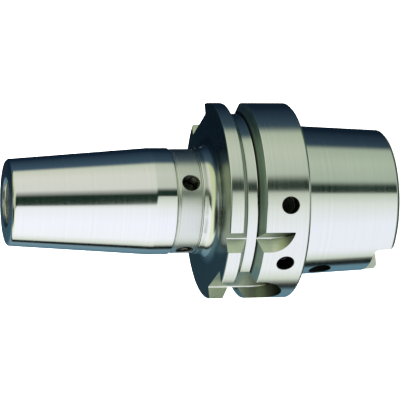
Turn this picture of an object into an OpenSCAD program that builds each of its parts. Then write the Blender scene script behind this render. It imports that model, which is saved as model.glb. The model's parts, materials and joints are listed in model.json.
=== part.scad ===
// Shrink fit tool holder with a hollow taper shank, standing on the end of the shank with the nose up.
// The origin is the centre of the flange's contact face, and +Z runs along the axis to the nose.
// Turned and milled from one bar, with one adjustable stop screw in the channel behind the tool bore.

/* [Shank] */
// Length of the taper shank below the contact face
shank_len = 32; // [29:0.5:36]
// Diameter of the taper at its gauge plane
taper_gauge_d = 48.01; // [47:0.01:52]
// Distance of the gauge plane below the contact face
taper_gauge_drop = 6.3; // [4:0.1:9]
// Length over which the taper's diameter grows by 1 mm
taper_ratio = 9.98; // [9:0.01:12]
// Chamfer on the outer edge of the shank's end
shank_end_chamfer = 1; // [0.4:0.1:2]
// Width of the relief between the taper and the contact face
relief_w = 1.5; // [0.8:0.1:2.5]
// Depth of that relief below the taper
relief_depth = 0.5; // [0.2:0.1:1]
// Width of the recess in the contact face, outside the taper
face_relief_w = 1; // [0.6:0.1:2]
// Depth of that recess in the contact face
face_relief_depth = 0.3; // [0.1:0.1:0.6]

/* [Shank cavity] */
// Inside diameter of the shank's mouth
mouth_d = 34; // [31:0.1:35]
// Chamfer inside the mouth
mouth_chamfer = 1.5; // [0.5:0.1:2]
// Gauge diameter on the clamping shoulder
clamp_gauge_d = 37; // [35:0.1:39]
// Distance of the clamping shoulder's gauge below the contact face
clamp_gauge_drop = 18.13; // [16:0.01:20]
// Angle of the clamping shoulder to the axis
clamp_angle = 30; // [25:1:45]
// Diameter of the clamping groove above the shoulder
groove_d = 40; // [38:0.1:41]
// Distance of the clamping groove's upper end below the contact face
groove_top_drop = 6; // [4:0.1:8]
// Diameter of the pocket above the clamping groove
pocket_d = 32; // [26:0.1:33]
// Height of the pocket's floor above the contact face
pocket_rise = 10; // [8:0.5:12]
// Corner radius of the pocket
pocket_corner_r = 2; // [1:0.1:3]

/* [Shank openings] */
// Width of the two drive slots in the shank's end
drive_slot_w = 19.4; // [12:0.1:22]
// Depth of the drive slots
drive_slot_depth = 6.5; // [4.5:0.1:8]
// Corner radius of the drive slots
drive_slot_corner_r = 1.5; // [0.5:0.1:2]
// Diameter of the wrench hole through the taper
wrench_hole_d = 7.3; // [6:0.1:8]
// Distance of the wrench hole below the contact face
wrench_hole_drop = 9.3; // [8.5:0.1:12]

/* [Flange] */
// Outside diameter of the flange
flange_d = 63; // [60:0.5:66]
// Length of the flange from the contact face to its front face
flange_len = 26; // [24:0.5:30]
// Chamfer on the flange's edge at the contact face
flange_chamfer = 0.7; // [0.3:0.1:1.2]
// Chamfer on the flange's front edge
front_chamfer = 0.3; // [0.2:0.1:1.2]
// Height of the gripper groove's middle above the contact face
grip_z = 18; // [16:0.1:19]
// Diameter of the gripper groove's floor
grip_root_d = 56; // [54:0.1:58]
// Width of the gripper groove's floor
grip_root_w = 3.2; // [2:0.1:4]
// Angle between the gripper groove's flanks
grip_angle = 60; // [50:1:70]

/* [Keyways and notch] */
// Width of the first flange keyway, and of the end mill that cuts it
keyway_w = 16; // [12:0.1:18]
// Width of the second flange keyway, across from the first, and of its end mill
second_keyway_w = 18; // [14:0.1:20]
// Distance of the keyway floors from the axis
keyway_floor = 26.5; // [25:0.1:28]
// Height of the keyways' closed end above the contact face
keyway_end = 4.6; // [2.5:0.1:6]
// Angle of the orientation notch from the first keyway
notch_turn = 45; // [40:1:50]
// Distance of the notch's root from the axis
notch_root_r = 27.9; // [26.5:0.1:29]
// Height of the notch's closed end above the contact face
notch_end = 4.7; // [3:0.1:6]
// Radius of the end mill that cuts the notch
notch_mill_r = 8; // [6:0.5:10]

/* [Balance drillings] */
// Diameter of the two blind holes in the flange
drill_d = 5.4; // [4:0.1:7]
// Depth of those holes to the start of their tip
drill_depth = 5; // [3:0.5:7]
// Height of those holes above the contact face
drill_z = 6.8; // [5:0.1:8]
// Angle of the first hole from the first keyway
drill_turn_a = 31; // [27:1:34]
// Angle of the second hole from the first keyway
drill_turn_b = 67; // [63:1:80]

/* [Neck] */
// Diameter of the collar in front of the flange
collar_d = 34; // [33.6:0.1:38]
// Length of the collar in front of the flange
collar_len = 4.8; // [4:0.1:9]
// Fillet between the collar and the flange
collar_fillet_r = 3.5; // [1:0.1:5]
// Diameter of the neck
neck_d = 33.4; // [32:0.1:33.6]
// Length of the neck from the collar to the cone
neck_len = 7.9; // [7.5:0.1:12]
// Width of the scored lines at both ends of the neck
score_w = 0.5; // [0.3:0.1:0.8]
// Depth of those lines
score_depth = 0.35; // [0.2:0.05:0.6]
// Number of balancing threads around the neck
balance_threads = 4; // [2, 4]
// Core diameter of the balancing threads
balance_thread_d = 5; // [4:0.1:5.4]
// Depth of the balancing threads to the start of their drill tip
balance_thread_depth = 7; // [5:0.1:7.5]
// Countersink of the balancing threads
balance_thread_sink = 0.4; // [0.3:0.1:0.9]

/* [Clamping cone] */
// Distance of the nose above the contact face
nose_z = 91; // [86:1:100]
// Diameter of the straight land between the neck and the cone, and of the cone's lower end
cone_d = 34.1; // [33.8:0.1:36]
// Length of that land
land_len = 7.1; // [4:0.1:10]
// Diameter of the nose
nose_d = 27.5; // [25:0.1:30]
// Chamfer on the nose and on the land's lower edge
cone_chamfer = 0.7; // [0.3:0.1:1.2]
// Diameter of the tool bore
tool_bore_d = 14; // [12:0.1:16]
// Depth of the tool bore
tool_bore_depth = 47; // [44:0.5:50]
// Chamfer at the mouth of the tool bore
tool_bore_chamfer = 0.8; // [0.3:0.1:1.5]

/* [Coolant channel and stop screw] */
// Core diameter of the coolant tube thread
coolant_thread_d = 17; // [15:0.1:20]
// Length of the coolant tube thread
coolant_thread_len = 12; // [9:0.5:14]
// Lead-in chamfer of the coolant tube thread
coolant_chamfer = 1; // [0.3:0.1:1.2]
// Diameter of the threaded channel that carries the stop screw
channel_d = 10; // [8:0.1:11]
// Length of the stop screw
stop_len = 16; // [12:0.5:17]
// Gap all round between the stop screw and its channel
stop_gap = 0.05; // [0.02:0.01:0.1]
// Width across the flats of the stop screw's through socket
stop_socket_w = 5; // [3:0.1:5.5]
// Chamfer on both ends of the stop screw
stop_chamfer = 0.8; // [0.3:0.1:1]

/* [Hidden] */
$fn = 180;
// How far a cutting shape runs past the face that it opens
overrun = 2;
// Turn of the first keyway from +X: the drive slots, wrench hole and threads line up with it
key_turn = 180;
// Half the point angle of a twist drill
drill_half_angle = 59;
// Angle between two points of a fillet
fillet_step = 7.5;

flange_r = flange_d / 2;
neck_r = neck_d / 2;
cone_r = cone_d / 2;
nose_r = nose_d / 2;
channel_r = channel_d / 2;
coolant_r = coolant_thread_d / 2;
tool_bore_r = tool_bore_d / 2;
collar_top = flange_len + collar_len;
land_z = collar_top + neck_len;
bore_floor = nose_z - tool_bore_depth;
coolant_top = pocket_rise + coolant_thread_len;
grip_half_w = grip_root_w / 2 + (flange_d - grip_root_d) / 2 * tan(grip_angle / 2);

// Width of a notch wall, from the root to the flange's outside
notch_wall = sqrt(flange_r ^ 2 - notch_root_r ^ 2 / 2) - notch_root_r / sqrt(2);
// Height of the end mill's centre where the notch ends
notch_mill_z = notch_end + sqrt(notch_mill_r ^ 2 - (notch_mill_r - notch_wall) ^ 2);

function taper_r(z) = (taper_gauge_d + (z + taper_gauge_drop) / taper_ratio) / 2;
function clamp_z(d) = (d - clamp_gauge_d) / 2 / tan(clamp_angle) - clamp_gauge_drop;
function arc(centre, r, from, to) = [
    for (i = [0:round(abs(to - from) / fillet_step)])
        let (a = from + sign(to - from) * i * fillet_step)
            centre + r * [cos(a), sin(a)]
];

// Everything that the lathe turns on the outside, from the shank's end to the nose
module turned_blank() {
    relief_r = taper_r(0) - relief_depth;
    face_relief_r = taper_r(0) + face_relief_w;
    collar_r = collar_d / 2;
    fillet_r = min(collar_fillet_r, collar_len - score_w);
    scored_r = neck_r - score_depth;
    rotate_extrude() polygon(concat(
        [
            [0, -shank_len],
            [taper_r(-shank_len) - shank_end_chamfer, -shank_len],
            [taper_r(shank_end_chamfer - shank_len), shank_end_chamfer - shank_len],
            [taper_r(-relief_w), -relief_w],
            [relief_r, -relief_w],
            [relief_r, face_relief_depth],
            [face_relief_r, face_relief_depth],
            [face_relief_r, 0],
            [flange_r - flange_chamfer, 0],
            [flange_r, flange_chamfer],
            [flange_r, grip_z - grip_half_w],
            [grip_root_d / 2, grip_z - grip_root_w / 2],
            [grip_root_d / 2, grip_z + grip_root_w / 2],
            [flange_r, grip_z + grip_half_w],
            [flange_r, flange_len - front_chamfer],
            [flange_r - front_chamfer, flange_len]
        ],
        arc([collar_r, flange_len] + fillet_r * [1, 1], fillet_r, 270, 180),
        [
            [collar_r, collar_top],
            [scored_r, collar_top],
            [scored_r, collar_top + score_w],
            [neck_r, collar_top + score_w],
            [neck_r, land_z - score_w],
            [scored_r, land_z - score_w],
            [scored_r, land_z],
            [cone_r - cone_chamfer, land_z],
            [cone_r, land_z + cone_chamfer],
            [cone_r, land_z + land_len],
            [nose_r, nose_z - cone_chamfer],
            [nose_r - cone_chamfer, nose_z],
            [0, nose_z]
        ]
    ));
}

// Hollow of the shank, where the spindle's gripper reaches in and pulls on the clamping shoulder
module shank_cavity() {
    mouth_r = mouth_d / 2;
    groove_r = groove_d / 2;
    pocket_r = pocket_d / 2;
    rotate_extrude() polygon(concat(
        [
            [0, -shank_len - overrun],
            [mouth_r + mouth_chamfer + overrun, -shank_len - overrun],
            [mouth_r, mouth_chamfer - shank_len],
            [mouth_r, clamp_z(mouth_d)],
            [groove_r, clamp_z(groove_d)],
            [groove_r, -groove_top_drop],
            [pocket_r, groove_r - pocket_r - groove_top_drop]
        ],
        arc([pocket_r, pocket_rise] - pocket_corner_r * [1, 1], pocket_corner_r, 0, 90),
        [[0, pocket_rise]]
    ));
}

// Coolant tube thread and the threaded channel, up into the tool bore
module coolant_channel() {
    tip = (coolant_r - channel_r) / tan(drill_half_angle);
    rotate_extrude() polygon([
        [0, pocket_rise - overrun],
        [coolant_r + coolant_chamfer, pocket_rise - overrun],
        [coolant_r + coolant_chamfer, pocket_rise],
        [coolant_r, pocket_rise + coolant_chamfer],
        [coolant_r, coolant_top],
        [channel_r, coolant_top + tip],
        [channel_r, bore_floor + overrun],
        [0, bore_floor + overrun]
    ]);
}

// Bore that grips the tool's shank
module tool_bore() {
    rotate_extrude() polygon([
        [0, bore_floor],
        [tool_bore_r, bore_floor],
        [tool_bore_r, nose_z - tool_bore_chamfer],
        [tool_bore_r + tool_bore_chamfer + overrun, nose_z + overrun],
        [0, nose_z + overrun]
    ]);
}

// Blind hole drilled towards the axis, with its drill tip and an optional countersink at the surface
module radial_hole(surface_r, d, depth, z, sink) {
    tip = d / 2 / tan(drill_half_angle);
    translate([surface_r - depth, 0, z]) rotate([0, 90, 0]) {
        cylinder(h = depth + overrun, d = d);
        translate([0, 0, -tip]) cylinder(h = tip, r1 = 0, r2 = d / 2);
        if (sink > 0)
            translate([0, 0, depth - sink])
                cylinder(h = sink + overrun, r1 = d / 2, r2 = d / 2 + sink + overrun);
    }
}

// Drive slot across the wall of the shank's end, with two round corners
module drive_slot() {
    inner_w = drive_slot_w - 2 * drive_slot_corner_r;
    reach = taper_r(0);
    translate([0, -drive_slot_w / 2, -shank_len - overrun])
        cube([reach, drive_slot_w, drive_slot_depth - drive_slot_corner_r + overrun]);
    translate([0, -inner_w / 2, -shank_len - overrun])
        cube([reach, inner_w, drive_slot_depth + overrun]);
    for (side = [-1, 1])
        translate([0, side * inner_w / 2, drive_slot_depth - drive_slot_corner_r - shank_len])
            rotate([0, 90, 0]) cylinder(h = reach, r = drive_slot_corner_r);
}

// Hole through the taper's wall for the wrench of a hand-clamped spindle
module wrench_hole() {
    translate([0, 0, -wrench_hole_drop])
        rotate([0, 90, 0]) cylinder(h = taper_r(0) + overrun, d = wrench_hole_d);
}

// Flange keyway, milled radially and open at the flange's front
module keyway(w) {
    depth = flange_r - keyway_floor + overrun;
    mill_z = keyway_end + w / 2;
    translate([keyway_floor, -w / 2, mill_z])
        cube([depth, w, flange_len - mill_z + overrun]);
    translate([keyway_floor, 0, mill_z])
        rotate([0, 90, 0]) cylinder(h = depth, d = w);
}

// Orientation notch: the end mill leans by 45 degrees, so its side and its end cut the two walls
module orientation_notch() {
    reach = 2 * notch_wall;
    translate([notch_root_r, 0, 0]) rotate(-45) {
        translate([0, 0, notch_mill_z])
            cube([reach, 2 * notch_mill_r, flange_len - notch_mill_z + overrun]);
        translate([0, notch_mill_r, notch_mill_z])
            rotate([0, 90, 0]) cylinder(h = reach, r = notch_mill_r);
    }
}

module holder_body() {
    color([0.74, 0.77, 0.75]) difference() {
        turned_blank();
        shank_cavity();
        coolant_channel();
        tool_bore();
        rotate(key_turn) {
            keyway(keyway_w);
            rotate(180) keyway(second_keyway_w);
            for (turn = [0, 180]) rotate(turn) drive_slot();
            wrench_hole();
            rotate(notch_turn) orientation_notch();
            for (turn = [drill_turn_a, drill_turn_b])
                rotate(turn) radial_hole(flange_r, drill_d, drill_depth, drill_z, 0);
            for (i = [0:balance_threads - 1])
                rotate(i * 360 / balance_threads)
                    radial_hole(neck_r, balance_thread_d, balance_thread_depth,
                        collar_top + neck_len / 2, balance_thread_sink);
        }
    }
}

// Headless screw with a hexagon socket right through, its upper end level with the tool bore's floor
module stop_screw() {
    r = channel_r - stop_gap;
    bottom = bore_floor - stop_len;
    color([0.26, 0.27, 0.28]) difference() {
        rotate_extrude() polygon([
            [0, bottom],
            [r - stop_chamfer, bottom],
            [r, bottom + stop_chamfer],
            [r, bore_floor - stop_chamfer],
            [r - stop_chamfer, bore_floor],
            [0, bore_floor]
        ]);
        translate([0, 0, bottom - overrun])
            cylinder(h = stop_len + 2 * overrun, d = stop_socket_w / cos(30), $fn = 6);
    }
}

holder_body();
stop_screw();
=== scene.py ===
# Looks of a shrink fit tool holder: ground and turned steel on a pale studio floor.
import json
from math import atan, cos, degrees, pi, radians, sin, sqrt, tan

import bmesh
import bpy
from mathutils import Matrix, Vector


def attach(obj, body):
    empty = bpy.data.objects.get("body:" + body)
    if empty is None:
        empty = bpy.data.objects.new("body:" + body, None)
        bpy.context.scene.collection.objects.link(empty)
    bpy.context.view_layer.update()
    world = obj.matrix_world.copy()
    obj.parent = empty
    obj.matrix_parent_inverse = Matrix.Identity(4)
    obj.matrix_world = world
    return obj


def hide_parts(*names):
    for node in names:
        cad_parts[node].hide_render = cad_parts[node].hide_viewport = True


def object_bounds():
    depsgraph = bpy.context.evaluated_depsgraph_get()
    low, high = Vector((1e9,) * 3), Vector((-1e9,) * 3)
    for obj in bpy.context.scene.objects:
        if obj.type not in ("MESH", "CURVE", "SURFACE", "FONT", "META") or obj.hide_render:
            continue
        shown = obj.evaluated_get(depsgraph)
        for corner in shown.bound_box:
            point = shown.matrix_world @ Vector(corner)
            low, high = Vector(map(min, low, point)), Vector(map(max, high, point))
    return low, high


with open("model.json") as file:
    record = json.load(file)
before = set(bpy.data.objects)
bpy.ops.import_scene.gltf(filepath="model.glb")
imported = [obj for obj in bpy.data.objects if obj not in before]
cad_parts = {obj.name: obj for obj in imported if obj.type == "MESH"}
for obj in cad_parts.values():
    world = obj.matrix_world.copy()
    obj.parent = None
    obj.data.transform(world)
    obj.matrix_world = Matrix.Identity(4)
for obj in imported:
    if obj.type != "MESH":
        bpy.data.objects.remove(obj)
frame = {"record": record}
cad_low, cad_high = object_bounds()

MM = 0.001
MICRON = 1e-6


def mount_r(name):
    """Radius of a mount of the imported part, in millimetres."""
    return next(mount["dims"]["r_mm"] for mount in frame["record"]["mounts"] if mount["name"] == name)


# Overall sizes, in millimetres as all sizes here, with heights from the flange's contact face
SHANK_LEN = round(-cad_low[2] / MM, 2)
FLANGE_R = round(cad_high[0] / MM, 2)
NOSE_Z = round(cad_high[2] / MM, 2)

# Shank
TAPER_GAUGE_D = 48.01
TAPER_GAUGE_DROP = 6.3
TAPER_RATIO = 9.98
SHANK_END_CHAMFER = 1.0
RELIEF_W = 1.5
RELIEF_DEPTH = 0.5
DRIVE_SLOT_W = 19.4
DRIVE_SLOT_DEPTH = 6.5
DRIVE_SLOT_CORNER_R = 1.5
WRENCH_HOLE_R = 3.65
WRENCH_HOLE_DROP = 9.3

# Cavity in the shank
MOUTH_R = 17.0
MOUTH_CHAMFER = 1.5
CLAMP_GAUGE_R = 18.5
CLAMP_GAUGE_DROP = 18.13
CLAMP_ANGLE = radians(30)
GROOVE_R = 20.0
GROOVE_TOP_DROP = 6.0
POCKET_R = 16.0
POCKET_RISE = 10.0
POCKET_CORNER_R = 2.0

# Flange, whose turns are degrees around the axis from the narrow keyway, which lies at the key turn
FLANGE_LEN = 26.0
FLANGE_CHAMFER = 0.7
FRONT_CHAMFER = 0.3
FACE_RELIEF_W = 1.0
FACE_RELIEF_DEPTH = 0.3
GRIP_Z = 18.0
GRIP_ROOT_R = 28.0
GRIP_ROOT_W = 3.2
GRIP_ANGLE = radians(60)
KEY_TURN = 180.0
KEYWAY_WIDTHS = (16.0, 18.0)
KEYWAY_FLOOR = 26.5
KEYWAY_END = 4.6
NOTCH_TURN = 45.0
NOTCH_LEAN = 45.0
NOTCH_ROOT_R = 27.9
NOTCH_END = 4.7
NOTCH_MILL_R = 8.0
DRILL_TURNS = (31.0, 67.0)
DRILL_Z = 6.8
DRILL_R = 2.7
DRILL_DEPTH = 5.0
DRILL_SINK = 0.2

# Collar, neck and clamping cone
COLLAR_R = 17.0
COLLAR_LEN = 4.8
COLLAR_FILLET_R = 3.5
NECK_R = 16.7
NECK_LEN = 7.9
SCORE_W = 0.5
SCORE_DEPTH = 0.35
BALANCE_TURNS = (0.0, 90.0, 180.0, 270.0)
BALANCE_R = mount_r("balance_thread_1")
BALANCE_DEPTH = 7.0
BALANCE_SINK = 0.4
BALANCE_PITCH = 1.0
CONE_R = 17.05
CONE_CHAMFER = 0.7
LAND_LEN = 7.1
NOSE_R = 13.75
NOSE_EDGE_R = 1.2

# Bores along the axis, the stop screw and all threads, whose depth is a share of the pitch
TOOL_BORE_R = mount_r("tool_bore")
TOOL_BORE_DEPTH = 47.0
TOOL_BORE_CHAMFER = 0.8
COOLANT_R = mount_r("coolant_thread")
COOLANT_LEN = 12.0
COOLANT_CHAMFER = 1.0
CHANNEL_R = 5.0
STOP_LEN = 16.0
STOP_GAP = 0.05
STOP_SOCKET_W = 5.0
STOP_BORE_R = 2.0
STOP_CHAMFER = 0.8
FINE_PITCH = 1.0
THREAD_DEPTH = 0.54
DRILL_HALF_ANGLE = radians(59)

COLLAR_TOP = FLANGE_LEN + COLLAR_LEN
LAND_Z = COLLAR_TOP + NECK_LEN
BORE_FLOOR = NOSE_Z - TOOL_BORE_DEPTH
COOLANT_TOP = POCKET_RISE + COOLANT_LEN

# Small rounds, and how far a cutter passes the surface
EDGE_BREAK = 0.15
ROOT_R = 0.35
OVERRUN = 2.0

# Detail of the meshes, with the three distances at its end in metres
LATHE_SEGMENTS = 240
SCREW_SEGMENTS = 96
WRENCH_HOLE_SEGMENTS = 72
HOLE_SEGMENTS = 64
THREAD_STEPS = 6
ROUND_STEPS = 10
FILLET_STEPS = 12
KEYWAY_STEPS = 48
NOTCH_STEPS = 72
ROOT_STEPS = 5
STRAIGHT_ANGLE = radians(172)
SHARP_ANGLE = radians(28)
SLIVER = 0.0005 * MM
WELD = 1e-8
SAME_LEVEL = 1e-7

# Finishes of the steel, in the order of the body's material slots; some are darker copies of the same
# steel with painted shade, and one a lighter copy with painted light
FINISHES = (
    "ground_cone", "turned_flange", "shaded_face", "shaded_groove", "ground_taper", "turned_neck",
    "bored", "milled", "notched", "shaded_mill_end", "mill_root", "slotted", "drilled", "tapped", "blackened",
)

# Stands a plan up: its X runs around the axis, its Y along the axis and its height outwards
UPRIGHT = Matrix(((0, 0, 1, 0), (1, 0, 0, 0), (0, 1, 0, 0), (0, 0, 0, 1)))


def taper_r(z):
    """Radius of the shank's taper at a height."""
    return (TAPER_GAUGE_D + (z + TAPER_GAUGE_DROP) / TAPER_RATIO) / 2


def clamp_z(r):
    """Height of the clamping shoulder at a radius."""
    return (r - CLAMP_GAUGE_R) / tan(CLAMP_ANGLE) - CLAMP_GAUGE_DROP


def arc(centre, r, start, end, steps):
    """Points along an arc, with its angles in degrees."""
    angles = [radians(start + (end - start) * i / steps) for i in range(steps + 1)]
    return [(centre[0] + r * cos(a), centre[1] + r * sin(a)) for a in angles]


def run(finish, points):
    """Outline points as (radius, height, thread depth, finish of the stretch that follows)."""
    return [(r, z, 0.0, finish) for r, z in points]


def thread_run(finish, r, start, end, pitch):
    """Outline points of a thread on its core radius, which fades in and out over a turn."""
    count = round(abs(end - start) / pitch * THREAD_STEPS)
    heights = [start + (end - start) * i / count for i in range(count + 1)]
    fade = [min(1.0, abs(z - start) / pitch, abs(end - z) / pitch) for z in heights]
    return [(r, z, THREAD_DEPTH * pitch * f, finish) for z, f in zip(heights, fade)]


def soften(outline, size):
    """Breaks every sharp corner of a closed outline by a small round.
    Long stretches get a point near each end, so that the smooth shading of an edge stays close to it."""
    near_end = 2 * size
    long_stretch = 5 * size
    soft = []
    count = len(outline)
    for i, (r, z, depth, finish) in enumerate(outline):
        here = Vector((r, z))
        before = Vector(outline[i - 1][:2]) - here
        after = Vector(outline[(i + 1) % count][:2]) - here
        finish_before = outline[i - 1][3]
        if before.length > long_stretch:
            soft.append((*(here + before.normalized() * near_end), 0.0, finish_before))
        short = min(before.length, after.length) < near_end
        if depth or short or before.angle(after) > STRAIGHT_ANGLE:
            soft.append((r, z, depth, finish))
        else:
            first = here + before.normalized() * size
            last = here + after.normalized() * size
            soft.append((*first, 0.0, finish_before))
            soft.append((*((first + 2 * here + last) / 4), 0.0, finish))
            soft.append((*last, 0.0, finish))
        if after.length > long_stretch:
            soft.append((*(here + after.normalized() * near_end), 0.0, finish))
    return soft


def add_object(name, data):
    obj = bpy.data.objects.new(name, data)
    bpy.context.scene.collection.objects.link(obj)
    return obj


def add_slots(mesh):
    """Gives a mesh one material slot for each finish."""
    for finish in FINISHES:
        mesh.materials.append(bpy.data.materials[finish])


def mesh_object(name, verts, faces, finishes=None):
    """Object of points in millimetres, with doubles welded and normals outwards."""
    mesh = bpy.data.meshes.new(name)
    mesh.from_pydata([[c * MM for c in v] for v in verts], [], faces)
    if finishes:
        add_slots(mesh)
        mesh.polygons.foreach_set("material_index", finishes)
    bm = bmesh.new()
    bm.from_mesh(mesh)
    bmesh.ops.remove_doubles(bm, verts=bm.verts, dist=WELD)
    bmesh.ops.recalc_face_normals(bm, faces=bm.faces)
    bm.to_mesh(mesh)
    bm.free()
    return add_object(name, mesh)


def lathe(name, outline, segments, pitch=1.0):
    """Turns a closed outline about Z. A point's thread depth grows its radius along a helix."""
    verts = []
    faces = []
    finishes = []
    count = len(outline)
    for r, z, depth, _ in outline:
        for j in range(segments):
            a = 2 * pi * j / segments
            flank = abs(2 * ((z / pitch - j / segments) % 1.0) - 1)
            grown = r + depth * flank
            verts.append((grown * cos(a), grown * sin(a), z))
    for i, point in enumerate(outline):
        up = (i + 1) % count
        for j in range(segments):
            k = (j + 1) % segments
            faces.append((i * segments + j, i * segments + k, up * segments + k, up * segments + j))
            finishes.append(FINISHES.index(point[3]))
    return mesh_object(name, verts, faces, finishes)


def prism(name, plan, low, high, finish, corner=0.0, low_finish=None):
    """Extrudes a closed plan of (x, y) points along Z.
    The lower end can have edges rounded by a corner radius, and its own finish."""
    count = len(plan)
    verts = [(x, y, low) for x, y in plan] + [(x, y, high) for x, y in plan]
    faces = [tuple(range(count)), tuple(range(count, 2 * count))]
    faces += [(i, (i + 1) % count, count + (i + 1) % count, count + i) for i in range(count)]
    finishes = [FINISHES.index(low_finish or finish)] + [FINISHES.index(finish)] * (count + 1)
    obj = mesh_object(name, verts, faces, finishes)
    if corner:
        bm = bmesh.new()
        bm.from_mesh(obj.data)
        edges = [e for e in bm.edges if all(abs(v.co.z - low * MM) < SAME_LEVEL for v in e.verts)]
        bmesh.ops.bevel(
            bm, geom=edges, offset=corner * MM, segments=ROOT_STEPS, profile=0.5, affect="EDGES",
            material=FINISHES.index("mill_root"),
        )
        bm.to_mesh(obj.data)
        bm.free()
    return obj


def placed(obj, *moves):
    """Applies the moves to the mesh, the first one last, as a chain of matrices."""
    matrix = Matrix.Identity(4)
    for move in moves:
        matrix = matrix @ move
    obj.data.transform(matrix)
    return obj


def turn(angle, axis="Z"):
    return Matrix.Rotation(radians(angle), 4, axis)


def shift(x=0.0, y=0.0, z=0.0):
    return Matrix.Translation((x * MM, y * MM, z * MM))


def shank_outline():
    """Outside of the shank, from its end up to the relief at the flange."""
    return run("ground_taper", [
        (taper_r(-SHANK_LEN) - SHANK_END_CHAMFER, -SHANK_LEN),
        (taper_r(SHANK_END_CHAMFER - SHANK_LEN), SHANK_END_CHAMFER - SHANK_LEN),
        (taper_r(-RELIEF_W), -RELIEF_W),
        (taper_r(0) - RELIEF_DEPTH, -RELIEF_W),
    ])


def flange_outline():
    """Contact face, gripper groove and front of the flange, and the fillet up to the collar's top."""
    grip_half_w = GRIP_ROOT_W / 2 + (FLANGE_R - GRIP_ROOT_R) * tan(GRIP_ANGLE / 2)
    face_relief_r = taper_r(0) + FACE_RELIEF_W
    outline = run("turned_flange", [
        (taper_r(0) - RELIEF_DEPTH, FACE_RELIEF_DEPTH),
        (face_relief_r, FACE_RELIEF_DEPTH),
        (face_relief_r, 0),
        (FLANGE_R - FLANGE_CHAMFER, 0),
        (FLANGE_R, FLANGE_CHAMFER),
    ])
    # The groove's flanks take a darker copy of the steel: painted shade
    outline += run("shaded_groove", [(FLANGE_R, GRIP_Z - grip_half_w)])
    outline += run("turned_flange", [(GRIP_ROOT_R, GRIP_Z - GRIP_ROOT_W / 2)])
    outline += run("shaded_groove", [(GRIP_ROOT_R, GRIP_Z + GRIP_ROOT_W / 2)])
    outline += run("turned_flange", [(FLANGE_R, GRIP_Z + grip_half_w)])
    # The front chamfer, front face, lower half of the fillet and the collar's top take a darker copy of
    # the steel: painted shade
    outline += run("shaded_face", [
        (FLANGE_R, FLANGE_LEN - FRONT_CHAMFER),
        (FLANGE_R - FRONT_CHAMFER, FLANGE_LEN),
    ])
    fillet_centre = (COLLAR_R + COLLAR_FILLET_R, FLANGE_LEN + COLLAR_FILLET_R)
    outline += run("shaded_face", arc(fillet_centre, COLLAR_FILLET_R, 270, 225, FILLET_STEPS)[:-1])
    outline += run("turned_flange", arc(fillet_centre, COLLAR_FILLET_R, 225, 180, FILLET_STEPS))
    return outline + run("shaded_face", [(COLLAR_R, COLLAR_TOP)])


def cone_outline():
    """Neck between its two scored lines, the straight land and the cone up to the nose's round edge."""
    scored_r = NECK_R - SCORE_DEPTH
    outline = run("turned_neck", [
        (scored_r, COLLAR_TOP),
        (scored_r, COLLAR_TOP + SCORE_W),
        (NECK_R, COLLAR_TOP + SCORE_W),
        (NECK_R, LAND_Z - SCORE_W),
        (scored_r, LAND_Z - SCORE_W),
        (scored_r, LAND_Z),
    ])
    outline += run("ground_cone", [
        (CONE_R - CONE_CHAMFER, LAND_Z),
        (CONE_R, LAND_Z + CONE_CHAMFER),
        (CONE_R, LAND_Z + LAND_LEN),
    ])
    slope = atan((CONE_R - NOSE_R) / (NOSE_Z - CONE_CHAMFER - LAND_Z - LAND_LEN))
    edge_z = NOSE_Z - NOSE_EDGE_R
    edge_drop = edge_z + NOSE_EDGE_R * sin(slope) - NOSE_Z + CONE_CHAMFER
    edge_r = NOSE_R - edge_drop * tan(slope) - NOSE_EDGE_R * cos(slope)
    edge = arc((edge_r, edge_z), NOSE_EDGE_R, degrees(slope), 90, ROUND_STEPS)
    return outline + run("ground_cone", edge[:-1]) + run("turned_flange", [(edge_r, NOSE_Z)])


def bore_outline():
    """Tool bore, stop screw's channel and coolant tube's thread, from the nose down."""
    outline = run("bored", [
        (TOOL_BORE_R + TOOL_BORE_CHAMFER, NOSE_Z),
        (TOOL_BORE_R, NOSE_Z - TOOL_BORE_CHAMFER),
        (TOOL_BORE_R, BORE_FLOOR),
        (CHANNEL_R, BORE_FLOOR),
        (CHANNEL_R, COOLANT_TOP + (COOLANT_R - CHANNEL_R) / tan(DRILL_HALF_ANGLE)),
        (COOLANT_R, COOLANT_TOP),
    ])
    thread_top = COOLANT_TOP - FINE_PITCH
    thread_low = POCKET_RISE + COOLANT_CHAMFER
    outline += thread_run("bored", COOLANT_R, thread_top, thread_low, FINE_PITCH)
    return outline + run("bored", [(COOLANT_R + COOLANT_CHAMFER, POCKET_RISE)])


def cavity_outline():
    """Pocket, clamping groove with its shoulder, and mouth of the shank's cavity."""
    corner = (POCKET_R - POCKET_CORNER_R, POCKET_RISE - POCKET_CORNER_R)
    outline = run("bored", arc(corner, POCKET_CORNER_R, 90, 0, ROUND_STEPS))
    outline += run("bored", [
        (POCKET_R, GROOVE_R - POCKET_R - GROOVE_TOP_DROP),
        (GROOVE_R, -GROOVE_TOP_DROP),
        (GROOVE_R, clamp_z(GROOVE_R)),
        (MOUTH_R, clamp_z(MOUTH_R)),
        (MOUTH_R, MOUTH_CHAMFER - SHANK_LEN),
    ])
    return outline + run("ground_taper", [(MOUTH_R + MOUTH_CHAMFER, -SHANK_LEN)])


def body_outline():
    """Closed section of the holder: up the outside to the nose, then down through the inside."""
    outside = shank_outline() + flange_outline() + cone_outline()
    return soften(outside + bore_outline() + cavity_outline(), EDGE_BREAK)


def radial_hole(name, surface_r, r, depth, sink, finish, pitch=0.0):
    """Cutter for a blind hole along +X with its drill tip, a countersink and an optional thread."""
    tip = r / tan(DRILL_HALF_ANGLE)
    start = surface_r - depth
    outline = run(finish, [(0.0, start - tip), (r, start)])
    if pitch:
        outline += thread_run(finish, r, start + pitch / 2, surface_r - sink, pitch)
    else:
        outline += run(finish, [(r, surface_r - sink)])
    outline += run(finish, [(r + sink + OVERRUN, surface_r + OVERRUN), (0.0, surface_r + OVERRUN)])
    hole = lathe(name, outline, HOLE_SEGMENTS, pitch or 1.0)
    return placed(hole, turn(90, "Y"))


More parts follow.
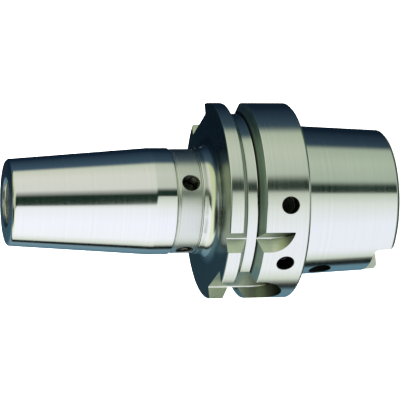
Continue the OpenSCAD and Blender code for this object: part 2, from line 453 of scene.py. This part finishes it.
def drive_slot(name):
    """Cutter across the shank's end on the +X side, with two round corners."""
    half = DRIVE_SLOT_W / 2
    r = DRIVE_SLOT_CORNER_R
    top = DRIVE_SLOT_DEPTH - SHANK_LEN
    plan = [(-half, -SHANK_LEN - OVERRUN), (half, -SHANK_LEN - OVERRUN)]
    plan += arc((half - r, top - r), r, 0, 90, ROUND_STEPS)
    plan += arc((r - half, top - r), r, 90, 180, ROUND_STEPS)
    return placed(prism(name, plan, MOUTH_R - 2 * OVERRUN, taper_r(0), "slotted"), UPRIGHT)


def keyway(name, width):
    """Cutter of a flange keyway on the +X side, with the round end that an end mill leaves."""
    r = width / 2
    plan = [(r, FLANGE_LEN + OVERRUN), (-r, FLANGE_LEN + OVERRUN)]
    plan += arc((0.0, KEYWAY_END + r), r, 180, 360, KEYWAY_STEPS)
    return placed(prism(name, plan, KEYWAY_FLOOR, FLANGE_R + OVERRUN, "milled", ROOT_R), UPRIGHT)


def orientation_notch(name):
    """Cutter of the orientation notch: the end mill leans, and its side runs out at the closed end."""
    lean = radians(NOTCH_LEAN)
    wall = sqrt(FLANGE_R ** 2 - (NOTCH_ROOT_R * sin(lean)) ** 2) - NOTCH_ROOT_R * cos(lean)
    mill_z = NOTCH_END + sqrt(NOTCH_MILL_R ** 2 - (NOTCH_MILL_R - wall) ** 2)
    top = FLANGE_LEN + OVERRUN
    plan = [(2 * NOTCH_MILL_R, top), (0.0, top)]
    plan += arc((NOTCH_MILL_R, mill_z), NOTCH_MILL_R, 180, 360, NOTCH_STEPS)
    # The wall cut by the mill's end takes a darker copy of the steel: painted shade
    slot = prism(name, plan, 0.0, 2 * wall, "notched", ROOT_R, "shaded_mill_end")
    return placed(slot, shift(x=NOTCH_ROOT_R), turn(-NOTCH_LEAN), UPRIGHT)


def wrench_hole(name):
    """Cutter through the shank's wall on the +X side."""
    end = taper_r(0) + OVERRUN
    corners = [(0.0, MOUTH_R), (WRENCH_HOLE_R, MOUTH_R), (WRENCH_HOLE_R, end), (0.0, end)]
    hole = lathe(name, run("drilled", corners), WRENCH_HOLE_SEGMENTS)
    return placed(hole, shift(z=-WRENCH_HOLE_DROP), turn(90, "Y"))


def joined(name, objects):
    """One mesh of several, with the parts left as they are."""
    bm = bmesh.new()
    for obj in objects:
        bm.from_mesh(obj.data)
        bpy.data.objects.remove(obj)
    mesh = bpy.data.meshes.new(name)
    add_slots(mesh)
    bm.to_mesh(mesh)
    bm.free()
    return add_object(name, mesh)


def cut(obj, cutter):
    """Takes the cutter out of the object and keeps the result as its mesh."""
    difference = obj.modifiers.new("cut", "BOOLEAN")
    difference.operation = "DIFFERENCE"
    difference.solver = "EXACT"
    difference.object = cutter
    bpy.context.view_layer.update()
    result = bpy.data.meshes.new_from_object(obj.evaluated_get(bpy.context.evaluated_depsgraph_get()))
    obj.modifiers.clear()
    bm = bmesh.new()
    bm.from_mesh(result)
    bmesh.ops.triangulate(bm, faces=bm.faces)
    bmesh.ops.dissolve_degenerate(bm, dist=SLIVER, edges=bm.edges)
    bm.to_mesh(result)
    bm.free()
    obj.data = result
    bpy.data.objects.remove(cutter)
    return obj


def shade(obj):
    """Smooth shading that stops at sharp edges."""
    obj.data.shade_smooth()
    obj.data.set_sharp_from_angle(angle=SHARP_ANGLE)


def holder_cutters():
    """All that is milled and drilled out of the turned body, as one cutter."""
    cutters = []
    for i, side in enumerate((0.0, 180.0)):
        cutters.append(placed(keyway(f"keyway_{i}", KEYWAY_WIDTHS[i]), turn(KEY_TURN + side)))
        cutters.append(placed(drive_slot(f"drive_slot_{i}"), turn(KEY_TURN + side)))
    cutters.append(placed(orientation_notch("notch"), turn(KEY_TURN + NOTCH_TURN)))
    cutters.append(placed(wrench_hole("wrench_hole"), turn(KEY_TURN)))
    for i, angle in enumerate(DRILL_TURNS):
        drill = radial_hole(f"drill_{i}", FLANGE_R, DRILL_R, DRILL_DEPTH, DRILL_SINK, "drilled")
        cutters.append(placed(drill, turn(KEY_TURN + angle), shift(z=DRILL_Z)))
    for i, angle in enumerate(BALANCE_TURNS):
        tapped = radial_hole(
            f"tapped_{i}", NECK_R, BALANCE_R, BALANCE_DEPTH, BALANCE_SINK, "tapped", BALANCE_PITCH,
        )
        cutters.append(placed(tapped, turn(KEY_TURN + angle), shift(z=COLLAR_TOP + NECK_LEN / 2)))
    return joined("holder_cutters", cutters)


def holder_body():
    """Turned body of the holder with all its cuts."""
    return cut(lathe("holder_steel", body_outline(), LATHE_SEGMENTS), holder_cutters())


def stop_screw():
    """Headless screw with a fine thread and a hexagon socket right through."""
    r = CHANNEL_R - STOP_GAP
    core_r = r - THREAD_DEPTH * FINE_PITCH
    low = BORE_FLOOR - STOP_LEN
    outline = run("blackened", [(STOP_BORE_R, low), (r - STOP_CHAMFER, low)])
    outline += thread_run("blackened", core_r, low + STOP_CHAMFER, BORE_FLOOR - STOP_CHAMFER, FINE_PITCH)
    outline += run("blackened", [(r - STOP_CHAMFER, BORE_FLOOR), (STOP_BORE_R, BORE_FLOOR)])
    screw = lathe("stop_screw_steel", outline, SCREW_SEGMENTS, FINE_PITCH)
    corner = STOP_SOCKET_W / 2 / cos(radians(30))
    hexagon = [(corner * cos(radians(60 * i)), corner * sin(radians(60 * i))) for i in range(6)]
    return cut(screw, prism("socket", hexagon, low - OVERRUN, BORE_FLOOR + OVERRUN, "blackened"))


class Nodes:
    """Short way to write a node tree."""

    def __init__(self, tree):
        self.tree = tree
        tree.nodes.clear()

    def add(self, kind, settings=None, **inputs):
        node = self.tree.nodes.new(kind)
        for key, value in (settings or {}).items():
            setattr(node, key, value)
        for key, value in inputs.items():
            self.put(node.inputs[key.replace("_", " ")], value)
        return node

    def put(self, socket, value):
        if isinstance(value, bpy.types.NodeSocket):
            self.tree.links.new(value, socket)
        else:
            socket.default_value = value

    def math(self, operation, *values):
        node = self.add("ShaderNodeMath", {"operation": operation})
        for socket, value in zip(node.inputs, values):
            self.put(socket, value)
        return node.outputs[0]

    def shares(self, first, second, share):
        """Sum of two values, the first by its share and the second by the rest."""
        rest = self.math("MULTIPLY", second, 1 - share)
        return self.math("ADD", self.math("MULTIPLY", first, share), rest)

    def ramp(self, factor, stops):
        node = self.add("ShaderNodeValToRGB", Fac=factor)
        elements = node.color_ramp.elements
        while len(elements) < len(stops):
            elements.new(0.5)
        for element, (place, colour) in zip(elements, stops):
            element.position = place
            element.color = (*colour, 1.0)
        return node.outputs["Color"]

    def dot(self, first, second):
        node = self.add("ShaderNodeVectorMath", {"operation": "DOT_PRODUCT"})
        self.put(node.inputs[0], first)
        self.put(node.inputs[1], second)
        return node.outputs["Value"]

    def blend(self, factor, first, second, how="MIX"):
        """Mix of two colours, each a socket or three numbers."""
        node = self.add("ShaderNodeMix", {"data_type": "RGBA", "blend_type": how})
        self.put(node.inputs[0], factor)
        for socket, colour in zip(node.inputs[6:8], (first, second)):
            self.put(socket, (*colour, 1.0) if isinstance(colour, tuple) else colour)
        return node.outputs[2]

    def mapped(self, value, low, high, to_low, to_high):
        node = self.add("ShaderNodeMapRange")
        for socket, item in zip(node.inputs, (value, low, high, to_low, to_high)):
            self.put(socket, item)
        return node.outputs["Result"]


# Painted shade for hollows and closed ends, and edges brightened partly by rubbing and partly as a painted
# highlight, with the cosines of a bend where the brightening starts and is full
PAINTED_SHADE = (0.012, 0.018, 0.012)
WORN_AND_GLINT = (0.88, 0.90, 0.88)
WEAR_AND_GLINT = 0.6
WEAR_AND_GLINT_W = 0.25
WEAR_AND_GLINT_BEND = (0.98, 0.85)

# Range of most values of a noise, and the sizes of stains in millimetres
NOISE_LOW = 0.3
NOISE_HIGH = 0.7
LARGE_STAINS = 14.0
SMALL_STAINS = 5.0

# Tool marks are even, or longer along the axis
EVEN = (1.0, 1.0, 1.0)
LONG = (1.0, 1.0, 0.2)


def new_steel(name):
    """Nodes of a new material."""
    material = bpy.data.materials.new(name)
    material.use_nodes = True
    return Nodes(material.node_tree)


def radius_and_height(nodes):
    """Distance from the axis and height over the contact face, in metres."""
    place = nodes.add("ShaderNodeTexCoord").outputs["Object"]
    x, y, z = nodes.add("ShaderNodeSeparateXYZ", Vector=place).outputs
    square = nodes.math("ADD", nodes.math("MULTIPLY", x, x), nodes.math("MULTIPLY", y, y))
    return nodes.math("SQRT", square), z


def lathe_marks(nodes, spacing, detail=2.0):
    """Fine rings that a turning tool or a grinding wheel leaves, along the axis and the radius."""
    along = nodes.math("ADD", *radius_and_height(nodes))
    noise = nodes.add(
        "ShaderNodeTexNoise", {"noise_dimensions": "1D"}, W=along, Scale=1 / (spacing * MM), Detail=detail,
    )
    return noise.outputs["Fac"]


def cloud(nodes, size):
    """Soft stains of a size in millimetres."""
    place = nodes.add("ShaderNodeTexCoord").outputs["Object"]
    noise = nodes.add("ShaderNodeTexNoise", Vector=place, Scale=1 / (size * MM), Detail=3.0)
    return noise.outputs["Fac"]


def mottled(nodes, pattern, colour, dark_share, light_share):
    """Colour that goes with a pattern from a dark to a light share of itself."""
    dark = tuple(c * dark_share for c in colour)
    light = tuple(min(1.0, c * light_share) for c in colour)
    return nodes.ramp(pattern, [(NOISE_LOW, dark), (NOISE_HIGH, light)])


def rubbed_and_glinting(nodes, tint):
    """Edges a little brighter over a narrow strip where the surface turns: partly rubbed by handling,
    partly a painted highlight.
    """
    surface = nodes.add("ShaderNodeNewGeometry").outputs["Normal"]
    rounded = nodes.add("ShaderNodeBevel", {"samples": 4}, Radius=WEAR_AND_GLINT_W * MM).outputs["Normal"]
    return nodes.blend(nodes.mapped(nodes.dot(rounded, surface), *WEAR_AND_GLINT_BEND, 0.0, WEAR_AND_GLINT), tint, WORN_AND_GLINT)


def darken_with_painted_shade(nodes, tint, place, ends):
    """Painted shade darkens the steel, fully at the first end and no more at the second."""
    return nodes.blend(nodes.mapped(place, ends[1] * MM, ends[0] * MM, 0.0, 1.0), tint, PAINTED_SHADE)


def turned_steel(
    name, colour, roughness, coarse, fine, bump, anisotropy, spread=0.04, shaded_root=None, grazing=1.0,
):
    """Steel with rings around the axis: coarse and fine spacing in millimetres, bump in micrometres.
    A shaded root is a pair of radii, from full painted shade to none. A grazing share below 1 dims what
    the steel mirrors at a flat angle."""
    nodes = new_steel(name)
    coarse_marks = lathe_marks(nodes, coarse)
    fine_marks = lathe_marks(nodes, fine, 1.0)
    stains = cloud(nodes, LARGE_STAINS)
    tint = mottled(nodes, nodes.shares(coarse_marks, stains, 0.6), colour, 1 - spread, 1 + spread)
    tint = rubbed_and_glinting(nodes, tint)
    # Painted shade, full at the first radius and none at the second
    if shaded_root:
        radius, _ = radius_and_height(nodes)
        tint = darken_with_painted_shade(nodes, tint, radius, shaded_root)
    both = nodes.math("ADD", coarse_marks, stains)
    rough = nodes.mapped(both, 2 * NOISE_LOW, 2 * NOISE_HIGH, roughness * 0.85, roughness * 1.2)
    height = nodes.math("ADD", fine_marks, nodes.math("MULTIPLY", coarse_marks, 0.5))
    relief = nodes.add("ShaderNodeBump", Strength=1.0, Distance=bump * MICRON, Height=height)
    tangent = nodes.add("ShaderNodeTangent", {"direction_type": "RADIAL", "axis": "Z"})
    shader = nodes.add(
        "ShaderNodeBsdfPrincipled", Metallic=1.0, Base_Color=tint, Roughness=rough,
        Specular_Tint=(grazing, grazing, grazing, 1.0), Anisotropic=anisotropy,
        Anisotropic_Rotation=0.25, Tangent=tangent.outputs[0], Normal=relief.outputs[0],
    )
    nodes.add("ShaderNodeOutputMaterial", Surface=shader.outputs[0])


def cut_steel(name, colour, roughness, size, bump, stretch, shaded_end=None):
    """Steel with short tool marks that follow the cutter's path: size in millimetres, bump in micrometres.
    A shaded end is a pair of heights, from full painted shade to none."""
    nodes = new_steel(name)
    place = nodes.add("ShaderNodeTexCoord").outputs["Object"]
    along = nodes.add("ShaderNodeMapping", Vector=place, Scale=stretch).outputs[0]
    noise = nodes.add("ShaderNodeTexNoise", Vector=along, Scale=1 / (size * MM), Detail=4.0)
    marks = noise.outputs["Fac"]
    stains = cloud(nodes, SMALL_STAINS)
    tint = mottled(nodes, nodes.shares(marks, stains, 0.5), colour, 0.85, 1.12)
    tint = rubbed_and_glinting(nodes, tint)
    # Painted shade, full at the first height and none at the second
    if shaded_end:
        _, height = radius_and_height(nodes)
        tint = darken_with_painted_shade(nodes, tint, height, shaded_end)
    rough = nodes.mapped(stains, NOISE_LOW, NOISE_HIGH, roughness * 0.8, roughness * 1.25)
    relief = nodes.add("ShaderNodeBump", Strength=1.0, Distance=bump * MICRON, Height=marks)
    shader = nodes.add(
        "ShaderNodeBsdfPrincipled", Metallic=1.0, Base_Color=tint, Roughness=rough,
        Normal=relief.outputs[0],
    )
    nodes.add("ShaderNodeOutputMaterial", Surface=shader.outputs[0])


def add_finishes():
    """One material for each name in FINISHES."""
    # Turned: name, colour, roughness, coarse and fine spacing, bump, anisotropy, spread of the colour
    turned_steel("ground_cone", (0.84, 0.85, 0.84), 0.11, 0.9, 0.14, 0.3, 0.4, 0.02)
    turned_steel("turned_flange", (0.80, 0.82, 0.78), 0.17, 0.6, 0.16, 0.7, 0.4)
    # Front faces and the lower half of the collar's fillet: a darker copy of the steel, painted shade
    turned_steel("shaded_face", (0.46, 0.52, 0.49), 0.20, 0.6, 0.20, 0.9, 0.3, grazing=0.56)
    # Groove flanks: a darker copy of the steel as painted shade, with more painted shade towards the root
    turned_steel("shaded_groove", (0.48, 0.58, 0.50), 0.34, 0.5, 0.20, 1.2, 0.3, shaded_root=(28.4, 29.2))
    turned_steel("ground_taper", (0.82, 0.84, 0.82), 0.15, 1.1, 0.14, 0.4, 0.4, 0.025)
    turned_steel("turned_neck", (0.71, 0.74, 0.70), 0.29, 0.5, 0.20, 1.0, 0.2)
    turned_steel("bored", (0.66, 0.70, 0.68), 0.30, 0.8, 0.24, 1.6, 0.3)
    turned_steel("blackened", (0.12, 0.12, 0.13), 0.36, 0.8, 0.24, 1.6, 0.3)
    # Cut: name, colour, roughness, size of the marks, bump, stretch of the marks
    # Keyways, notch walls and root rounds darken towards their closed ends: painted shade
    cut_steel("milled", (0.64, 0.70, 0.57), 0.36, 0.5, 1.6, LONG, shaded_end=(4.6, 16.0))
    cut_steel("notched", (0.72, 0.79, 0.63), 0.36, 0.5, 1.6, LONG, shaded_end=(3.6, 10.8))
    # Notch wall cut by the mill's end: a darker copy of the steel, painted shade
    cut_steel("shaded_mill_end", (0.42, 0.47, 0.42), 0.40, 0.5, 1.6, LONG, shaded_end=(4.6, 14.5))
    cut_steel("mill_root", (0.84, 0.85, 0.80), 0.14, 0.5, 0.6, LONG, shaded_end=(7.0, 11.5))
    # Drive slot walls: a near-white copy of the steel, painted light
    cut_steel("slotted", (0.94, 0.96, 0.95), 0.30, 0.5, 1.2, LONG)
    # Drilled and tapped holes: a near-black copy of the steel, painted shade inside the holes
    cut_steel("drilled", (0.03, 0.032, 0.03), 0.55, 0.4, 2.0, EVEN)
    cut_steel("tapped", (0.06, 0.066, 0.05), 0.35, 0.4, 1.5, EVEN)


# Camera of the photograph: it looks at the axis from the nose's side, and the nose is on the left
CAMERA_TURN = radians(KEY_TURN + 69.9)
CAMERA_RISE = radians(13.743)
CAMERA_DISTANCE = 697.4
CAMERA_ROLL = radians(-0.46)
AIM_Z = 28.12
AIM_DROP = -0.256
SENSOR_WIDTH = 36.0
FOCAL_WIDTHS = 5.425

to_camera = Vector((cos(CAMERA_TURN), sin(CAMERA_TURN), 0.0))
image_down = Vector((to_camera.y, -to_camera.x, 0.0))
up_axis = Vector((0.0, 0.0, 1.0))


def add_camera():
    """Camera at the photograph's angle, aimed at a point beside the axis."""
    data = bpy.data.cameras.new("camera")
    data.sensor_width = SENSOR_WIDTH
    data.lens = FOCAL_WIDTHS * SENSOR_WIDTH
    back = to_camera * cos(CAMERA_RISE) + up_axis * sin(CAMERA_RISE)
    flat_right = to_camera * sin(CAMERA_RISE) - up_axis * cos(CAMERA_RISE)
    right = flat_right * cos(CAMERA_ROLL) - image_down * sin(CAMERA_ROLL)
    down = flat_right * sin(CAMERA_ROLL) + image_down * cos(CAMERA_ROLL)
    aim = up_axis * AIM_Z + image_down * AIM_DROP
    place = (aim + back * CAMERA_DISTANCE) * MM
    camera = add_object("camera", data)
    camera.matrix_world = Matrix.Translation(place) @ Matrix((right, -down, back)).transposed().to_4x4()
    bpy.context.scene.camera = camera


# Light of the studio's walls, far below and at eye height
# Each row is degrees around from the camera towards the image's lower side, and the light there
WALLS_LOW = (
    (-180, (0.004, 0.010, 0.020)),
    (-140, (0.005, 0.012, 0.024)),
    (-96, (0.030, 0.058, 0.085)),
    (-88, (0.38, 0.46, 0.35)),
    (-60, (0.46, 0.55, 0.42)),
    (-28, (0.40, 0.48, 0.38)),
    (-8, (0.60, 0.67, 0.56)),
    (8, (0.84, 0.88, 0.84)),
    (40, (0.99, 1.01, 1.12)),
    (88, (0.99, 1.01, 1.10)),
    (107, (0.66, 0.74, 0.62)),
    (111, (0.002, 0.006, 0.007)),
    (128, (0.002, 0.006, 0.007)),
    (132, (0.12, 0.24, 0.30)),
    (160, (0.12, 0.25, 0.33)),
    (180, (0.04, 0.09, 0.13)),
)
WALLS_HIGH = (
    (-180, (0.006, 0.015, 0.030)),
    (-140, (0.008, 0.020, 0.040)),
    (-92, (0.055, 0.105, 0.150)),
    (-84, (0.66, 0.70, 0.57)),
    (-60, (0.78, 0.78, 0.71)),
    (-25, (0.74, 0.76, 0.69)),
    (2, (0.80, 0.85, 0.76)),
    (18, (0.98, 1.00, 1.04)),
    (50, (1.05, 1.06, 1.16)),
    (92, (1.04, 1.06, 1.10)),
    (113, (0.76, 0.82, 0.70)),
    (115.5, (0.004, 0.010, 0.010)),
    (124, (0.004, 0.010, 0.010)),
    (128, (0.22, 0.34, 0.40)),
    (160, (0.10, 0.20, 0.27)),
    (180, (0.04, 0.09, 0.13)),
)
DARK_GAP = (0.007, 0.025, 0.016)
UPPER_TINT = (0.85, 0.92, 0.62)
CEILING = (0.17, 0.20, 0.17)
HOOD = (0.012, 0.02, 0.016)
CEILING_BACK = (0.15, 0.17, 0.15)
CEILING_LAMP = (0.95, 0.97, 0.96)
GROUND = (0.50, 0.55, 0.48)
GROUND_BACK = (0.06, 0.10, 0.07)

# Height over which the walls turn into the ceiling
ROOF_FADE = 0.13

# Fades of the studio, as where each starts and ends and its values there
# They go by height or nearness to the camera, both from -1 to 1, or by the angle around the axis
# The gap's edges go by its half widths, and the eaves by the share of the hood
WALLS_RISE = (-0.40, -0.05, 0.0, 1.0)
GAP_MIDDLE = (-0.20, -0.06, radians(-18), radians(-6))
GAP_MIDDLE_RISE = (-0.03, 0.40, 0.0, radians(14))
GAP_HALF = (-0.20, -0.03, radians(8.0), radians(15.5))
GAP_UPPER_EDGE = (-1.5, -0.5, 0.0, 1.0)
GAP_LOWER_EDGE = (0.85, 1.1, 1.0, 0.0)
GAP_TOP = (0.25, 0.45, 1.0, 0.0)
TINT_RISE = (0.15, 0.40, 0.0, 1.0)
TINT_FRONT = (-0.2, 0.1, 0.0, 1.0)
HOOD_FRONT = (-0.2, 0.0, 0.0, 1.0)
HOOD_TURN = (radians(-8), radians(30), 0.0, 1.0)
CEILING_REAR = (-0.12, -0.3, 0.0, 1.0)
LAMP_RISE = (0.985, 0.993, 0.0, 1.0)
EAVES = (0.0, 1.0, 0.80, 0.65)
GROUND_FRONT = (-0.1, 0.15, 0.0, 1.0)
GROUND_FALL = (-0.5, -0.62, 0.0, 1.0)


def studio_walls(nodes, around, height):
    """Soft walls that differ around the axis and are darker below."""
    turned = nodes.mapped(around, -pi, pi, 0.0, 1.0)
    low, high = (
        nodes.ramp(turned, [(angle / 360 + 0.5, light) for angle, light in rows])
        for rows in (WALLS_LOW, WALLS_HIGH)
    )
    return nodes.blend(nodes.mapped(height, *WALLS_RISE), low, high)


def camera_gap(nodes, around, height):
    """Share of the dark gap where the camera stands, whose middle and width change with the height."""
    middle = nodes.math("ADD", nodes.mapped(height, *GAP_MIDDLE), nodes.mapped(height, *GAP_MIDDLE_RISE))
    half = nodes.mapped(height, *GAP_HALF)
    off = nodes.math("DIVIDE", nodes.math("SUBTRACT", around, middle), half)
    inside = nodes.math("MULTIPLY", nodes.mapped(off, *GAP_UPPER_EDGE), nodes.mapped(off, *GAP_LOWER_EDGE))
    return nodes.math("MULTIPLY", inside, nodes.mapped(height, *GAP_TOP))


def roofed(nodes, walls, around, height, near):
    """Dim ceiling over the walls, with a small lamp at its top.
    In front and on the image's lower side it is a dark hood that starts lower."""
    hood = nodes.math("MULTIPLY", nodes.mapped(near, *HOOD_FRONT), nodes.mapped(around, *HOOD_TURN))
    ceiling = nodes.blend(hood, CEILING, HOOD)
    ceiling = nodes.blend(nodes.mapped(near, *CEILING_REAR), ceiling, CEILING_BACK)
    ceiling = nodes.blend(nodes.mapped(height, *LAMP_RISE), ceiling, CEILING_LAMP)
    eaves = nodes.mapped(hood, *EAVES)
    over = nodes.math("DIVIDE", nodes.math("SUBTRACT", height, eaves), ROOF_FADE)
    return nodes.blend(nodes.mapped(over, 0.0, 1.0, 0.0, 1.0), walls, ceiling)


def add_world():
    """Studio around the axis: walls with a dark gap, a ceiling above and a ground below."""
    world = bpy.data.worlds.new("studio")
    bpy.context.scene.world = world
    world.use_nodes = True
    nodes = Nodes(world.node_tree)
    direction = nodes.add("ShaderNodeTexCoord").outputs["Generated"]
    height = nodes.add("ShaderNodeSeparateXYZ", Vector=direction).outputs["Z"]
    near = nodes.dot(direction, to_camera)
    around = nodes.math("ARCTAN2", nodes.dot(direction, image_down), near)
    walls = studio_walls(nodes, around, height)
    banded = nodes.blend(camera_gap(nodes, around, height), walls, DARK_GAP)
    upper = nodes.math("MULTIPLY", nodes.mapped(height, *TINT_RISE), nodes.mapped(near, *TINT_FRONT))
    tinted = nodes.blend(upper, banded, UPPER_TINT, "MULTIPLY")
    covered = roofed(nodes, tinted, around, height, near)
    ground = nodes.blend(nodes.mapped(near, *GROUND_FRONT), GROUND_BACK, GROUND)
    studio = nodes.blend(nodes.mapped(height, *GROUND_FALL), covered, ground)
    background = nodes.add("ShaderNodeBackground", Color=studio, Strength=1.0)
    nodes.add("ShaderNodeOutputWorld", Surface=background.outputs[0])


# Floor and its own light
FLOOR_HALF = 4000.0
FLOOR_COLOUR = (0.92, 0.92, 0.92, 1.0)
FLOOR_ROUGHNESS = 0.9
FLOOR_GLOW = 0.85
FLOOR_LIGHT = 5.0
FLOOR_LIGHT_SPREAD = radians(120)


def add_floor_light():
    """Soft light straight down on the floor, which the steel does not mirror."""
    data = bpy.data.lights.new("floor_light", "SUN")
    data.energy = FLOOR_LIGHT
    data.angle = FLOOR_LIGHT_SPREAD
    add_object("floor_light", data).visible_glossy = False


def add_floor():
    """Pale floor at the end of the shank, which glows. The steel mirrors the studio in its place."""
    z = cad_low[2] / MM
    corners = [(x * FLOOR_HALF, y * FLOOR_HALF, z) for x, y in ((-1, -1), (1, -1), (1, 1), (-1, 1))]
    floor = mesh_object("floor", corners, [(0, 1, 2, 3)])
    floor.visible_glossy = False
    material = bpy.data.materials.new("floor")
    material.use_nodes = True
    inputs = material.node_tree.nodes["Principled BSDF"].inputs
    inputs["Base Color"].default_value = FLOOR_COLOUR
    inputs["Roughness"].default_value = FLOOR_ROUGHNESS
    inputs["Specular IOR Level"].default_value = 0.0
    inputs["Emission Color"].default_value = (1.0, 1.0, 1.0, 1.0)
    inputs["Emission Strength"].default_value = FLOOR_GLOW
    floor.data.materials.append(material)


add_camera()
add_world()
add_floor_light()
add_floor()

add_finishes()
for piece, node, rider, slot_name in (
    (holder_body(), "holder_body", "holder", "ground_steel"),
    (stop_screw(), "stop_screw", "stop", "black_steel"),
):
    shade(piece)
    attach(piece, rider)
    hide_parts(node)

bpy.context.scene.view_settings.view_transform = "Standard"
